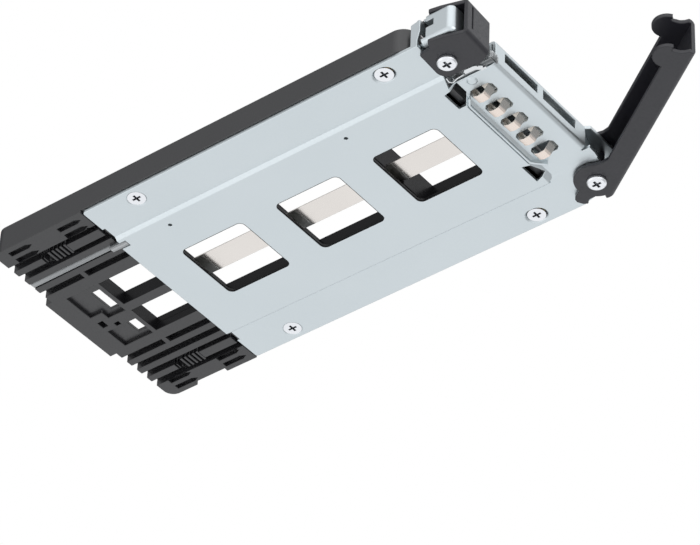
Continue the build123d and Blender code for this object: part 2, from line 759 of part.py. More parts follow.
# Drive blank: one moulding shaped like a drive, with open frames over the tray's windows and a
# toothed tail behind the tray
with BuildPart() as drive_blank:
    with BuildSketch(Plane.XY.offset(tail_low_z)):
        block(-half_drive, half_drive, drive_front_y, tail_rear_y)
    extrude(amount=blank_top_z - tail_low_z)
    upright = drive_blank.edges().filter_by(Axis.Z).group_by(Axis.Y)
    fillet(upright[0], blank_front_radius)
    fillet(drive_blank.edges().filter_by(Axis.Z).group_by(Axis.Y)[-1], blank_rear_radius)
    chamfer(drive_blank.faces().sort_by(Axis.Z)[-1].edges(), blank_edge_radius)
    with BuildSketch(Plane.XY.offset(tail_low_z)):
        block(-half_drive - 1, half_drive + 1, drive_front_y - 1, tail_front_y)
    extrude(amount=tail_drop, mode=Mode.SUBTRACT)

    # Hollow underside with a frame round each window and a boss at each screw
    cavity_length = drive_rear_y - drive_front_y - 2 * blank_wall
    with BuildSketch(Plane.XY.offset(band_top_z)):
        with Locations((0, (drive_rear_y + drive_front_y) / 2)):
            RectangleRounded(drive_width - 2 * blank_wall, cavity_length, blank_front_radius - blank_wall)
    extrude(amount=blank_height - blank_deck, mode=Mode.SUBTRACT)
    opening_front = window_length / 2 + opening_margin
    opening_rear = opening_front + opening_rear_extra
    openings = [
        (windows[0][1] - opening_front, windows[0][1] + opening_rear),
        (windows[1][1] - opening_front - 0.5, windows[1][1] + opening_rear - 0.5),
        (windows[2][1] - opening_front - 0.5, windows[2][1] + opening_front),
    ]
    frame_half_width = opening_half_width + rib_wall
    with BuildSketch(Plane.XY.offset(band_top_z)):
        for front, rear in openings:
            block(-frame_half_width, frame_half_width, front - rib_wall, rear + rib_wall)
        with Locations(*drive_holes):
            Circle(boss_radius)
        for y in (-half_y, half_y):
            block(-half_x, -opening_half_width, y - rib_wall / 2, y + rib_wall / 2)
            block(opening_half_width, half_x, y - rib_wall / 2, y + rib_wall / 2)
        block(pipe_left_x - rib_wall, pipe_right_x + rib_wall, drive_front_y + 1, drive_rear_y - 1)
    extrude(amount=blank_height - blank_deck / 2)
    with BuildSketch(Plane.XY.offset(band_top_z)):
        for front, rear in openings:
            block(-opening_half_width, opening_half_width, front, rear)
    extrude(amount=blank_height, mode=Mode.SUBTRACT)

    # Channel for the centre strip and seats for the inserts
    with BuildSketch(Plane.XY.offset(band_top_z)):
        half_channel = strip_width / 2 + running_gap
        block(-half_channel, half_channel, drive_front_y + blank_wall, drive_rear_y - blank_wall)
    extrude(amount=strip_recess, mode=Mode.SUBTRACT)
    with BuildSketch(Plane.XY.offset(band_top_z)):
        with Locations(*drive_holes):
            RegularPolygon(insert_radius + press_gap, 6)
    extrude(amount=insert_recess + insert_length + 0.3, mode=Mode.SUBTRACT)

    # Tail: side blocks joined by a plate, open above it
    with BuildSketch(Plane.XY.offset(plate_top_z)):
        block(-tail_half_width, tail_half_width, tail_front_y, tail_rear_y + 1)
    extrude(amount=blank_top_z - plate_top_z, mode=Mode.SUBTRACT)
    with BuildSketch(Plane.XY.offset(tail_low_z)):
        block(-tail_half_width, tail_half_width, tail_front_y, tail_rear_y + 1)
    extrude(amount=plate_z - tail_low_z, mode=Mode.SUBTRACT)

    # Teeth and bars under the plate, with the centre block standing out behind
    cross_y = tail_front_y + cross_bar_setback
    cross_rear_y = cross_y + cross_bar_width
    cross_half_width = tooth_x + tooth_width / 2
    centre_y = tail_front_y + centre_block_setback
    centre_rear_y = tail_rear_y + centre_block_overhang
    with BuildSketch(Plane.XY.offset(tail_low_z)):
        for side in (-1, 1):
            for n, front in enumerate((tail_front_y, tail_front_y, tail_rear_y - third_tooth_length)):
                middle = side * (tooth_x + n * tooth_pitch)
                block(middle - tooth_width / 2, middle + tooth_width / 2, front, tail_rear_y)
            middle = side * side_bar_x
            block(middle - side_bar_width / 2, middle + side_bar_width / 2, tail_front_y, tail_rear_y)
        block(-spine_width / 2, spine_width / 2, tail_front_y, centre_y)
        block(-cross_half_width, cross_half_width, cross_y, cross_rear_y)
        block(-centre_block_left, centre_block_right, cross_rear_y, centre_rear_y)
    extrude(amount=tooth_depth)
    with BuildSketch(Plane.XY.offset(plate_z)):
        block(-centre_block_left, centre_block_right, centre_y, centre_rear_y)
    extrude(amount=tail_plate)

    # Openings right through the tail beside its spine, and two small ones behind the cross bar
    with BuildSketch(Plane.XY.offset(tail_low_z)):
        block(-tail_opening_x, -spine_width / 2, tail_front_y, cross_y)
        block(spine_width / 2, tail_opening_x, tail_front_y, cross_y)
        small_rear_y = cross_rear_y + tail_window_length
        small_right_x = -spine_width / 3
        block(small_right_x - tail_window_left_width, small_right_x, cross_rear_y, small_rear_y)
        block(pocket_inner_x, pocket_inner_x + tail_window_right_width, cross_rear_y, small_rear_y)
    extrude(amount=blank_height, mode=Mode.SUBTRACT)

    # Shallow pockets in the centre block, stepped round two small hollows
    pocket_rear_y = centre_rear_y - pocket_setback
    pocket_step_y = pocket_rear_y - pocket_step
    pocket_left_x = pocket_margin - centre_block_left
    with BuildSketch(Plane.XY.offset(tail_low_z)):
        block(pocket_left_x, spine_width / 5, cross_rear_y, pocket_step_y)
        block(pocket_left_x, -2 * spine_width / 3, pocket_step_y, pocket_rear_y)
        block(pocket_inner_x, centre_block_right - pocket_margin, cross_rear_y, pocket_rear_y)
    extrude(amount=pocket_depth, mode=Mode.SUBTRACT)
    with BuildSketch(Plane.XY.offset(tail_low_z)):
        block(spine_width / 5, spine_width, pocket_rear_y - 1.7, pocket_rear_y)
        block(spine_width, pocket_inner_x - 0.4, pocket_step_y - 1.2, pocket_step_y + 0.3)
    extrude(amount=tooth_depth, mode=Mode.SUBTRACT)

    # Springing arms with ribbed pads, cut free from the plate by slots
    arm_rear_y = tail_front_y + arm_length
    arm_x = (arm_inner_x + arm_outer_x) / 2
    arm_y = tail_front_y + 1 + arm_length / 2
    with BuildSketch(Plane.XY.offset(tail_low_z)):
        with Locations((-arm_x, arm_y), (arm_x, arm_y)):
            Rectangle(arm_outer_x - arm_inner_x + arm_slot, arm_length)
            Rectangle(arm_outer_x - arm_inner_x - arm_slot, arm_length - 2 * arm_slot, mode=Mode.SUBTRACT)
        for side in (-1, 1):
            with Locations((side * arm_x, tail_front_y + 1)):
                Rectangle(arm_outer_x - arm_inner_x - arm_slot, 4 * arm_slot, mode=Mode.SUBTRACT)
    extrude(amount=blank_height, mode=Mode.SUBTRACT)
    pad_width = arm_outer_x - arm_inner_x - 2 * arm_slot
    with BuildSketch(Plane.XY.offset(tail_low_z)):
        for side in (-1, 1):
            for n in range(pad_rib_count):
                with Locations((side * arm_x, arm_rear_y - 1.5 * pad_rib_pitch - n * pad_rib_pitch)):
                    Rectangle(pad_width, pad_rib_width)
            with Locations((side * arm_x, tail_front_y + arm_length * 0.31)):
                Rectangle(pad_width - 1, arm_length * 0.57)
    extrude(amount=tooth_depth)

    # Pointed hollows in the undersides of the side blocks, and a waist on the right
    with BuildSketch(Plane.XY.offset(tail_low_z)):
        for side in (-1, 1):
            for column in range(2):
                x = side * (half_drive - hollow_edge_gap - column * hollow_pitch)
                for front in (tail_front_y + 1.8, tail_rear_y - blank_rear_radius - hollow_length - 0.8):
                    with BuildLine():
                        Polyline(
                            (x - hollow_width / 2, front + hollow_length),
                            (x + hollow_width / 2, front + hollow_length),
                            (x + hollow_width / 2, front + hollow_width), (x, front),
                            (x - hollow_width / 2, front + hollow_width), close=True,
                        )
                    make_face()
    extrude(amount=hollow_depth, mode=Mode.SUBTRACT)
    with BuildSketch(Plane.XY.offset(tail_low_z)):
        waist_y = tail_front_y + 0.34 * tail_length
        block(half_drive - waist_depth, half_drive + 1, waist_y, waist_y + waist_length)
    extrude(amount=blank_height + tail_drop, mode=Mode.SUBTRACT)

    # Groove for the light pipe, the whole length of the moulding
    with BuildSketch(Plane.XY.offset(tail_low_z)):
        block(pipe_left_x - running_gap, pipe_right_x + running_gap, drive_front_y - 1, tail_rear_y + 1)
    extrude(amount=plate_z - tail_low_z, mode=Mode.SUBTRACT)
save(drive_blank, "drive_blank")


# Four flat head screws up through the tray into brass inserts in the blank's bosses
def tray_screw(spot):
    """Flat head screw with its head a little inside the tray's countersink."""
    head_z = panel_drop + screw_sink
    with BuildPart() as screw:
        with BuildSketch(Plane.XY.offset(head_z)):
            with Locations(spot):
                Circle(screw_head_radius - screw_sink)
        extrude(amount=screw_head_radius - screw_sink - screw_radius, taper=45)
        with BuildSketch(Plane.XY.offset(panel_drop + 0.5)):
            with Locations(spot):
                Circle(screw_radius)
        extrude(amount=screw_length - 0.5)
        with BuildSketch(Plane.XY.offset(head_z)):
            with Locations(spot):
                Rectangle(screw_recess_span, screw_recess_width)
                Rectangle(screw_recess_width, screw_recess_span)
        extrude(amount=screw_recess_depth, mode=Mode.SUBTRACT)
    return screw


def threaded_insert(spot):
    """Six sided brass insert moulded into a boss, open below for its screw."""
    with BuildPart() as insert:
        with BuildSketch(Plane.XY.offset(band_top_z + insert_recess)):
            with Locations(spot):
                RegularPolygon(insert_radius, 6)
                Circle(screw_radius + running_gap, mode=Mode.SUBTRACT)
        extrude(amount=insert_length)
    return insert


corner_names = ("front_left", "rear_left", "front_right", "rear_right")
for corner, spot in zip(corner_names, drive_holes):
    save(tray_screw(spot), f"tray_screw_{corner}")
    save(threaded_insert(spot), f"threaded_insert_{corner}")
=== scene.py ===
"""Looks of the hot swap drive caddy: sheet metal, coated levers, moulded blank, light and camera."""
import json
from math import radians

import bmesh
import bpy
from mathutils import Matrix, Vector

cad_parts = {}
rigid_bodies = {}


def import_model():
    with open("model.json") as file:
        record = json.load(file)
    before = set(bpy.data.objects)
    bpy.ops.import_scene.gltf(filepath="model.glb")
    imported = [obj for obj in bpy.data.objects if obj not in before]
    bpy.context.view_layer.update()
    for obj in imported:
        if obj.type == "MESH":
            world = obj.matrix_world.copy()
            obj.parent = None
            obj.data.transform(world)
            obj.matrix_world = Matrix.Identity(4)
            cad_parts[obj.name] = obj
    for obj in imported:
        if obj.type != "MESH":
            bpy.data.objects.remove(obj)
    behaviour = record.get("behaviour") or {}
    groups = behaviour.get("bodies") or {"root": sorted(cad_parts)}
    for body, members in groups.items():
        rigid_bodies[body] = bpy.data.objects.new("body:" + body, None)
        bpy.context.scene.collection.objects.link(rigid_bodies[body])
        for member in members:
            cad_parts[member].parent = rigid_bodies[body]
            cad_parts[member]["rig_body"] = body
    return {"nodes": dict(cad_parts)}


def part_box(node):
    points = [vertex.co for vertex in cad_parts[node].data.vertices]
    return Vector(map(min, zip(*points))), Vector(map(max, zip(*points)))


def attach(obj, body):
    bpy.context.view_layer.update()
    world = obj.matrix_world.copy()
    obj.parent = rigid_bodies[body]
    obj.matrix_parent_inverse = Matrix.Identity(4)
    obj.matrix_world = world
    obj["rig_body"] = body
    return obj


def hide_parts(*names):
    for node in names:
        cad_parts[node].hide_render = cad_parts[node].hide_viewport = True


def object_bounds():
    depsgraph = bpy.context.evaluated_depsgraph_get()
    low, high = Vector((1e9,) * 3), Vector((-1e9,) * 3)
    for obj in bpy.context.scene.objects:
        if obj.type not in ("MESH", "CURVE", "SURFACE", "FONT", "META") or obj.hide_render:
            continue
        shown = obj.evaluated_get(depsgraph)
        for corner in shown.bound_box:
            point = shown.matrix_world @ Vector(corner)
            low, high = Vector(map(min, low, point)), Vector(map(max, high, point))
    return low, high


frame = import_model()
cad_box = [list(corner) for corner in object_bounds()]

MM = 0.001
MERGE_REACH = 0.001 * MM
CORNERS = ("front_left", "rear_left", "front_right", "rear_right")

# Rounding of the edges

SHEET_EDGE = 0.12 * MM
COATED_EDGE = 0.18 * MM
MOULDED_EDGE = 0.15 * MM
STRIP_EDGE = 0.04 * MM
PIVOT_SCREW_EDGE = 0.08 * MM
TRAY_SCREW_EDGE = 0.06 * MM
EDGE_SEGMENTS = 2
FLAT_BEND = radians(0.6)
SHARP_BEND = radians(28.0)

# Where the windows lie, from the middle of the frame

WINDOWS_REACH_Y = 45 * MM
TRAY_WINDOWS_REACH_X = 18 * MM
BLANK_WINDOWS_REACH_X = 20 * MM

# How a rolled or moulded surface is drawn out, and the painted reflection streaks along the light pipe:
# marks per metre along each axis

ALONG_SHEET = (2600.0, 40.0, 2600.0)
ALONG_STRIP = (3000.0, 60.0, 3000.0)
ALONG_FINGER = (2600.0, 60.0, 60.0)
ALONG_PIPE = (800.0, 8.0, 500.0)
ROUND_THE_TURNING = (400.0, 400.0, 4000.0)
EVEN_PLATE = (900.0, 900.0, 900.0)


# Node helpers

def socket(group, name, kind, side):
    """Add one named socket to a node group."""
    group.interface.new_socket(name=name, in_out=side, socket_type=kind)


def add(tree, kind, **settings):
    """Add a node; settings whose name is an input set that input, the others set the node itself."""
    node = tree.nodes.new(kind)
    for key, value in settings.items():
        name = key.replace("_", " ")
        if name in node.inputs:
            node.inputs[name].default_value = value
        else:
            setattr(node, key, value)
    return node


def join(tree, source, target):
    """Link one output to one input."""
    tree.links.new(source, target)


def mottle_group():
    """Slow cloudiness and fine grain: two masks from 0 to 1 in object space."""
    group = bpy.data.node_groups.new("mottle", "ShaderNodeTree")
    socket(group, "Cloud Scale", "NodeSocketFloat", "INPUT")
    socket(group, "Grain Scale", "NodeSocketFloat", "INPUT")
    socket(group, "Cloud", "NodeSocketFloat", "OUTPUT")
    socket(group, "Grain", "NodeSocketFloat", "OUTPUT")
    entry, leave = add(group, "NodeGroupInput"), add(group, "NodeGroupOutput")
    place = add(group, "ShaderNodeTexCoord")
    cloud = add(group, "ShaderNodeTexNoise", Detail=3.0, Roughness=0.5)
    grain = add(group, "ShaderNodeTexNoise", Detail=2.0, Roughness=0.6)
    join(group, place.outputs["Object"], cloud.inputs["Vector"])
    join(group, place.outputs["Object"], grain.inputs["Vector"])
    join(group, entry.outputs["Cloud Scale"], cloud.inputs["Scale"])
    join(group, entry.outputs["Grain Scale"], grain.inputs["Scale"])
    join(group, cloud.outputs["Fac"], leave.inputs["Cloud"])
    join(group, grain.outputs["Fac"], leave.inputs["Grain"])
    return group


def lines_and_streaks_group():
    """Fine lines drawn out along one axis of the object: lines left by the rolling mill on the metal,
    and painted reflection streaks in the light pipe's colour.
    """
    group = bpy.data.node_groups.new("rolled_lines_and_painted_streaks", "ShaderNodeTree")
    socket(group, "Stretch", "NodeSocketVector", "INPUT")
    socket(group, "Lines", "NodeSocketFloat", "OUTPUT")
    entry, leave = add(group, "NodeGroupInput"), add(group, "NodeGroupOutput")
    place = add(group, "ShaderNodeTexCoord")
    mapping = add(group, "ShaderNodeMapping")
    lines = add(group, "ShaderNodeTexNoise", Scale=1.0, Detail=2.0, Roughness=0.5)
    join(group, place.outputs["Object"], mapping.inputs["Vector"])
    join(group, entry.outputs["Stretch"], mapping.inputs["Scale"])
    join(group, mapping.outputs["Vector"], lines.inputs["Vector"])
    join(group, lines.outputs["Fac"], leave.inputs["Lines"])
    return group


MOTTLE = mottle_group()
ROLLED_LINES_AND_PAINTED_STREAKS = lines_and_streaks_group()


def material(name, **surface):
    """A new material with its principled shader; surface sets that shader's inputs."""
    made = bpy.data.materials.new(name)
    made.use_nodes = True
    shader = made.node_tree.nodes["Principled BSDF"]
    for key, value in surface.items():
        shader.inputs[key.replace("_", " ")].default_value = value
    return made, made.node_tree, shader


def placed(tree, group, **values):
    """Put a node group in a material with its own values."""
    return add(tree, "ShaderNodeGroup", node_tree=group, **values)


def between(tree, mask, low, high):
    """Map a noise mask, which seldom leaves 0.3 to 0.7, on to a range of values."""
    node = add(tree, "ShaderNodeMapRange", From_Min=0.3, From_Max=0.7, To_Min=low, To_Max=high)
    join(tree, mask, node.inputs["Value"])
    return node.outputs["Result"]


def fading(tree, source, start, end, low=0.0, high=1.0):
    """A level that goes smoothly from low to high as the source goes from start to end."""
    node = add(
        tree, "ShaderNodeMapRange", interpolation_type="SMOOTHSTEP",
        From_Min=start, From_Max=end, To_Min=low, To_Max=high)
    join(tree, source, node.inputs["Value"])
    return node.outputs["Result"]


def blended(tree, mask, low, high):
    """Mix two colours by a mask."""
    node = add(tree, "ShaderNodeMix", data_type="RGBA")
    join(tree, mask, node.inputs["Factor"])
    first, second = [entry for entry in node.inputs if entry.type == "RGBA"]
    first.default_value = (*low, 1.0)
    second.default_value = (*high, 1.0)
    return [leave for leave in node.outputs if leave.type == "RGBA"][0]


def bumped(tree, shader, height, depth, strength):
    """Feed a height to the shader's normal through a bump of the given depth in metres."""
    bump = add(tree, "ShaderNodeBump", Strength=strength, Distance=depth)
    join(tree, height, bump.inputs["Height"])
    join(tree, bump.outputs["Normal"], shader.inputs["Normal"])


def combined(tree, operation, first, second):
    """One operation on two outputs."""
    node = add(tree, "ShaderNodeMath", operation=operation)
    join(tree, first, node.inputs[0])
    join(tree, second, node.inputs[1])
    return node.outputs[0]


def chosen(tree, mask, off, on, result):
    """Show one shader where the mask is 0 and the other where it is 1."""
    mix = add(tree, "ShaderNodeMixShader")
    join(tree, mask, mix.inputs["Fac"])
    join(tree, off.outputs[0], mix.inputs[1])
    join(tree, on.outputs[0], mix.inputs[2])
    join(tree, mix.outputs[0], result.inputs["Surface"])


# Materials

def sheet_metal(name, dark, light, rough, stretch):
    """Bare metal: cloudy tone, fine lines left by rolling or turning, and a soft uneven sheen."""
    spread = 0.05
    made, tree, shader = material(name, Metallic=1.0)
    mottle = placed(tree, MOTTLE, Cloud_Scale=45.0, Grain_Scale=3200.0)
    rolled = placed(tree, ROLLED_LINES_AND_PAINTED_STREAKS, Stretch=stretch)
    tone = blended(tree, mottle.outputs["Cloud"], dark, light)
    sheen = between(tree, mottle.outputs["Grain"], rough - spread, rough + spread)
    join(tree, tone, shader.inputs["Base Color"])
    join(tree, sheen, shader.inputs["Roughness"])
    bumped(tree, shader, rolled.outputs["Lines"], depth=0.004 * MM, strength=0.25)
    return made


def coated(name, dark, light, rough, grain, depth, gloss):
    """Black coat or moulding: fine pebbled grain, slight change of tone."""
    spread = 0.08
    made, tree, shader = material(name, Metallic=0.0, Specular_IOR_Level=gloss)
    mottle = placed(tree, MOTTLE, Cloud_Scale=80.0, Grain_Scale=grain)
    tone = blended(tree, mottle.outputs["Cloud"], dark, light)
    sheen = between(tree, mottle.outputs["Grain"], rough - spread, rough + spread)
    join(tree, tone, shader.inputs["Base Color"])
    join(tree, sheen, shader.inputs["Roughness"])
    bumped(tree, shader, mottle.outputs["Grain"], depth, strength=0.4)
    return made


def contact_steel():
    """Grey spring steel, lighter and warm on the bowed tips, the lowest part of each finger: painted
    highlight.
    """
    grey_above, highlight_below = 0.2 * MM, -0.3 * MM
    made, tree, shader = material("contact_steel", Metallic=1.0)
    rolled = placed(tree, ROLLED_LINES_AND_PAINTED_STREAKS, Stretch=ALONG_FINGER)
    place = add(tree, "ShaderNodeTexCoord")
    parts = add(tree, "ShaderNodeSeparateXYZ")
    join(tree, place.outputs["Object"], parts.inputs["Vector"])
    # Painted highlight: warm and lighter towards the lowest part of each finger, darker grey above.
    depth = fading(tree, parts.outputs["Z"], grey_above, highlight_below)
    tone = blended(tree, depth, low=(0.42, 0.41, 0.39), high=(0.84, 0.74, 0.67))
    sheen = between(tree, rolled.outputs["Lines"], 0.22, 0.3)
    join(tree, tone, shader.inputs["Base Color"])
    join(tree, sheen, shader.inputs["Roughness"])
    return made


def clear_moulding():
    """Clear plastic: long dark and light streaks painted into its colour as reflections along the bar,
    and a slightly uneven polish.
    """
    made, tree, shader = material("clear_moulding", Transmission_Weight=0.2, IOR=1.49)
    mottle = placed(tree, MOTTLE, Cloud_Scale=90.0, Grain_Scale=120.0)
    painted_streaks = placed(tree, ROLLED_LINES_AND_PAINTED_STREAKS, Stretch=ALONG_PIPE)
    # Painted reflection: dark and light streaks along the pipe, put into its base colour.
    streak = between(tree, painted_streaks.outputs["Lines"], 0.0, 1.0)
    tone = blended(tree, streak, low=(0.12, 0.13, 0.135), high=(0.6, 0.62, 0.63))
    sheen = between(tree, mottle.outputs["Grain"], 0.12, 0.2)
    join(tree, tone, shader.inputs["Base Color"])
    join(tree, sheen, shader.inputs["Roughness"])
    return made


galvanised = sheet_metal(
    "galvanised_sheet", dark=(0.625, 0.682, 0.705), light=(0.665, 0.718, 0.74),
    rough=0.4, stretch=ALONG_SHEET)
black_coat = coated(
    "black_powder_coat", dark=(0.009, 0.009, 0.013), light=(0.014, 0.014, 0.019),
    rough=0.4, grain=1500.0, depth=0.02 * MM, gloss=0.6)
black_moulding = coated(
    "black_moulding", dark=(0.011, 0.011, 0.0125), light=(0.016, 0.016, 0.018),
    rough=0.36, grain=2200.0, depth=0.01 * MM, gloss=0.8)
# A darker, less glossy copy of the black moulding for the walls inside windows and openings: painted
# shade.
painted_shade_moulding = coated(
    "black_moulding_painted_shade", dark=(0.006, 0.006, 0.007), light=(0.009, 0.009, 0.01),
    rough=0.3, grain=2200.0, depth=0.005 * MM, gloss=0.12)
zinc = sheet_metal(
    "zinc_plate", dark=(0.8, 0.82, 0.85), light=(0.9, 0.91, 0.93),
    rough=0.3, stretch=EVEN_PLATE)
stainless = sheet_metal(
    "spring_steel", dark=(0.74, 0.7, 0.66), light=(0.82, 0.78, 0.74),
    rough=0.2, stretch=ALONG_STRIP)
bright_leaf = sheet_metal(
    "bright_spring_leaf", dark=(0.7, 0.72, 0.73), light=(0.8, 0.82, 0.83),
    rough=0.25, stretch=ALONG_STRIP)
backing_steel = sheet_metal(
    "backing_steel", dark=(0.62, 0.58, 0.52), light=(0.72, 0.68, 0.62),
    rough=0.35, stretch=EVEN_PLATE)
brass = sheet_metal(
    "turned_brass", dark=(0.6, 0.44, 0.2), light=(0.68, 0.5, 0.25),
    rough=0.3, stretch=ROUND_THE_TURNING)
# A darker, rougher copy of the zinc for the screws' cross recesses: painted shade.
painted_shade_zinc = sheet_metal(
    "zinc_painted_recess_shade", dark=(0.16, 0.17, 0.19), light=(0.24, 0.25, 0.27),
    rough=0.5, stretch=EVEN_PLATE)
contact = contact_steel()
clear = clear_moulding()


# Shaping of single pieces

def drawn_corners(work):
    """Draw the tray's two rear corners out to the small radius of a sheared sheet."""
    reach, share = 2.5 * MM, 0.3
    right = max(vert.co.x for vert in work.verts)
    rear = max(vert.co.y for vert in work.verts)
    for side in (-1, 1):
        centre = Vector((side * (right - reach), rear - reach, 0))
        arc = [
            vert for vert in work.verts
            if side * (vert.co.x - centre.x) > -MERGE_REACH and vert.co.y - centre.y > -MERGE_REACH
        ]
        bmesh.ops.scale(work, verts=arc, vec=(share, share, 1), space=Matrix.Translation(-centre))
        bmesh.ops.translate(work, verts=arc, vec=(side * reach * (1 - share), reach * (1 - share), 0))


def shifted(work, low, high, move):
    """Move the vertices from a low to a high corner of the shape, all in millimetres."""
    slack = 0.1
    inside = [
        vert for vert in work.verts
        if all(low[axis] - slack < vert.co[axis] / MM < high[axis] + slack for axis in range(3))
    ]
    bmesh.ops.translate(work, verts=inside, vec=Vector(move) * MM)


def shaped_tray(work):
    """Sharper rear corners, and the top flange carried on to the right behind the last finger."""
    end_x, rear_y, low_z, high_z = 17.8, -48.6, 7.75, 8.75
    carried = 3.2
    drawn_corners(work)
    shifted(work, (end_x, rear_y, low_z), (end_x, rear_y, high_z), (carried, 0, 0))


def shaped_blank(work):
    """Flare the upper rims of the two small windows in the tail to the rear and to the right."""
    flare = 2.2
    left_x, inner_x, right_x = -8.6, -1.0, 10.0
    front_y, rear_y, rim_z = 68.85, 72.35, 5.35
    shifted(work, (left_x, rear_y, rim_z), (right_x, rear_y, rim_z), (0, flare, 0))
    for side_x in (inner_x, right_x):
        shifted(work, (side_x, front_y, rim_z), (side_x, rear_y + flare, rim_z), (flare, 0, 0))


def slim_wall(point):
    """Share of the full rounding at the blank's thin walls beside its springing arms."""
    inner_x, outer_x, share = 28.6 * MM, 29.4 * MM, 0.4
    return share if inner_x < abs(point.x) < outer_x else 1.0


def inside_opening(point):
    """True on the walls of the blank's windows and of the openings in its tail, which get the darker
    moulding of painted shade.
    """
    tail_reach_x, tail_end_y = 14 * MM, 67.5 * MM
    low_z, high_z = 1.3 * MM, 9.0 * MM
    at_windows = abs(point.x) < BLANK_WINDOWS_REACH_X and abs(point.y) < WINDOWS_REACH_Y
    at_tail = abs(point.x) < tail_reach_x and WINDOWS_REACH_Y < point.y < tail_end_y
    return low_z < point.z < high_z and (at_windows or at_tail)


def in_recess(node, low, high):
    """A test for the points inside a screw's cross recess, between two heights round its own axis."""
    reach = 1.25 * MM
    axis = sum(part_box(node), Vector()) / 2
    return lambda point: low < point.z < high and (point.xy - axis.xy).length < reach


# Making of pieces

def merged_copy(node):
    """A bmesh of a CAD node, its loose triangles merged."""
    work = bmesh.new()
    work.from_mesh(frame["nodes"][node].data)
    bmesh.ops.remove_doubles(work, verts=work.verts, dist=MERGE_REACH)
    return work


def finished(name, work, *looks):
    """Turn a bmesh into an object of the scene, with its materials."""
    mesh = bpy.data.meshes.new(name)
    work.to_mesh(mesh)
    work.free()
    for look in looks:
        mesh.materials.append(look)
    piece = bpy.data.objects.new(name, mesh)
    bpy.context.scene.collection.objects.link(piece)
    return piece


def mark_edges(work, ease):
    """Weigh the sharp outer edges for rounding, and shade the faces smooth up to a sharp bend."""
    weight = work.edges.layers.float.new("bevel_weight_edge")
    for line in work.edges:
        turn = line.calc_face_angle_signed(0.0)
        line[weight] = float(turn > SHARP_BEND)
        if ease is not None:
            line[weight] *= ease((line.verts[0].co + line.verts[1].co) / 2)
        line.smooth = abs(turn) <= SHARP_BEND
    for face in work.faces:
        face.smooth = True


def round_edges(piece, edge):
    """Round the weighed edges of a piece and keep its faces flat beside them."""
    rounding = piece.modifiers.new("rounded_edges", "BEVEL")
    rounding.width = edge
    rounding.segments = EDGE_SEGMENTS
    rounding.limit_method = "WEIGHT"
    rounding.use_clamp_overlap = False
    rounding.loop_slide = False
    flat = piece.modifiers.new("flat_faces", "WEIGHTED_NORMAL")
    flat.keep_sharp = True


def formed(node, name, look, edge, within=None, inner_look=None, shape=None, ease=None):
    """A copy of a CAD node, its outer edges rounded; faces that pass the within test get inner_look."""
    source = frame["nodes"][node]
    work = merged_copy(node)
    bmesh.ops.dissolve_limit(work, angle_limit=FLAT_BEND, verts=work.verts, edges=work.edges)
    if shape is not None:
        shape(work)
    bmesh.ops.connect_verts_concave(work, faces=work.faces)
    mark_edges(work, ease)
    looks = [look]
    if within is not None:
        looks.append(inner_look)
        for face in work.faces:
            face.material_index = int(within(face.calc_center_median()))
    piece = finished(name, work, *looks)
    round_edges(piece, edge)
    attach(piece, source["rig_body"])
    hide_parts(node)


def thickened(piece, name, thickness):
    """Give a thin piece its wall, on the side that its faces look to."""
    wall = piece.modifiers.new(name, "SOLIDIFY")
    wall.thickness = thickness
    wall.offset = 1.0


# Pieces

def sheet_pieces():
    """The folded tray and the latch housing, bare galvanised."""
    formed("tray", "folded_tray", galvanised, SHEET_EDGE, shape=shaped_tray)
    formed("latch_housing", "folded_latch_housing", galvanised, SHEET_EDGE)


def coated_pieces():
    """Lever and latch channels and the sleeves on their pivots, all black."""
    formed("lever", "coated_lever", black_coat, COATED_EDGE)
    formed("latch", "coated_latch", black_coat, COATED_EDGE)
    for node in ("lever_spacer", "latch_spacer"):
        formed(node, f"coated_{node}", black_coat, STRIP_EDGE)


def window_lips():
    """The moulding's thin lip, which lines the sheared edges of the tray's three windows, in the darker
    moulding of painted shade.
    """
    sheet, upright, lip = 1.0 * MM, 0.3, 0.06 * MM
    source = frame["nodes"]["tray"]
    work = merged_copy("tray")
    others = []
    for face in work.faces:
        spot = face.calc_center_median()
        on_edge = abs(face.normal.z) < upright and 0 < spot.z < sheet
        if not (on_edge and abs(spot.x) < TRAY_WINDOWS_REACH_X and abs(spot.y) < WINDOWS_REACH_Y):
            others.append(face)
    bmesh.ops.delete(work, geom=others, context="FACES")
    for face in work.faces:
        face.smooth = True
    piece = finished("moulded_window_lips", work, painted_shade_moulding)
    thickened(piece, "lip_wall", lip)
    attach(piece, source["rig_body"])


def moulded_pieces():
    """The drive blank, the lips of its windows and the clear light pipe."""
    # The walls inside the windows and the tail's openings get the darker moulding: painted shade.
    formed(
        "drive_blank", "moulded_drive_blank", black_moulding, MOULDED_EDGE,
        within=inside_opening, inner_look=painted_shade_moulding, shape=shaped_blank, ease=slim_wall)
    window_lips()
    formed("light_pipe", "moulded_light_pipe", clear, MOULDED_EDGE)


